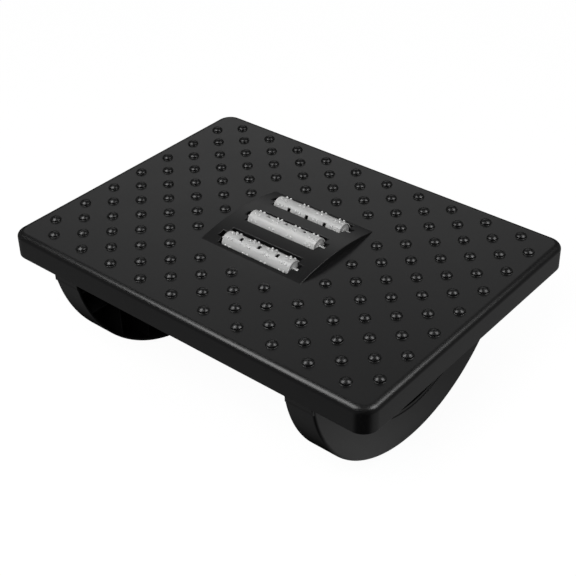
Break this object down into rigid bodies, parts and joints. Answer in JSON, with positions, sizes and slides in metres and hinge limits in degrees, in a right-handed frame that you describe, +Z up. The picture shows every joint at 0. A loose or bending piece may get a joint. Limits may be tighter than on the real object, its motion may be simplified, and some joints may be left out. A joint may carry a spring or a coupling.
{
  "type": "tilting footrest",
  "caption": "Under-desk footrest: a studded plastic deck with three spinning massage rollers, rocking on two half-round feet.",
  "frame": {"origin": "on the floor, below the middle of the deck, at rest with the deck level", "axes": "+X along the deck to the user's right, -Y to the front edge nearest the chair, +Z up"},
  "size_m": [0.4394, 0.3218, 0.1766],
  "materials": {
    "deck_plastic": "fine-grained black moulded plastic",
    "rocker_plastic": "satin black moulded plastic",
    "roller_plastic": "light grey moulded plastic",
    "plug_plastic": "light grey moulded plastic",
    "screw_steel": "zinc-plated steel"
  },
  "bodies": {
    "base": {"deck": "deck_plastic", "rocker_left": "rocker_plastic", "rocker_right": "rocker_plastic", "rocker_screw_left_front_inner": "screw_steel", "rocker_screw_left_front_outer": "screw_steel", "rocker_screw_left_back_inner": "screw_steel", "rocker_screw_left_back_outer": "screw_steel", "rocker_screw_right_front_inner": "screw_steel", "rocker_screw_right_front_outer": "screw_steel", "rocker_screw_right_back_inner": "screw_steel", "rocker_screw_right_back_outer": "screw_steel"},
    "roller_front": {"roller_front_sleeve": "roller_plastic", "roller_front_plug_left": "plug_plastic", "roller_front_plug_right": "plug_plastic"},
    "roller_middle": {"roller_middle_sleeve": "roller_plastic", "roller_middle_plug_left": "plug_plastic", "roller_middle_plug_right": "plug_plastic"},
    "roller_back": {"roller_back_sleeve": "roller_plastic", "roller_back_plug_left": "plug_plastic", "roller_back_plug_right": "plug_plastic"}
  },
  "joints": [
    {"name": "roller_front_spin", "type": "hinge", "parent": "base", "child": "roller_front", "pos_m": [0.0004, -0.0374, 0.16236], "axis": [1, 0, 0], "continuous": true},
    {"name": "roller_middle_spin", "type": "hinge", "parent": "base", "child": "roller_middle", "pos_m": [-0.0017, 0.0026, 0.1657], "axis": [1, 0, 0], "continuous": true},
    {"name": "roller_back_spin", "type": "hinge", "parent": "base", "child": "roller_back", "pos_m": [-0.00219, 0.0426, 0.16236], "axis": [1, 0, 0], "continuous": true}
  ]
}
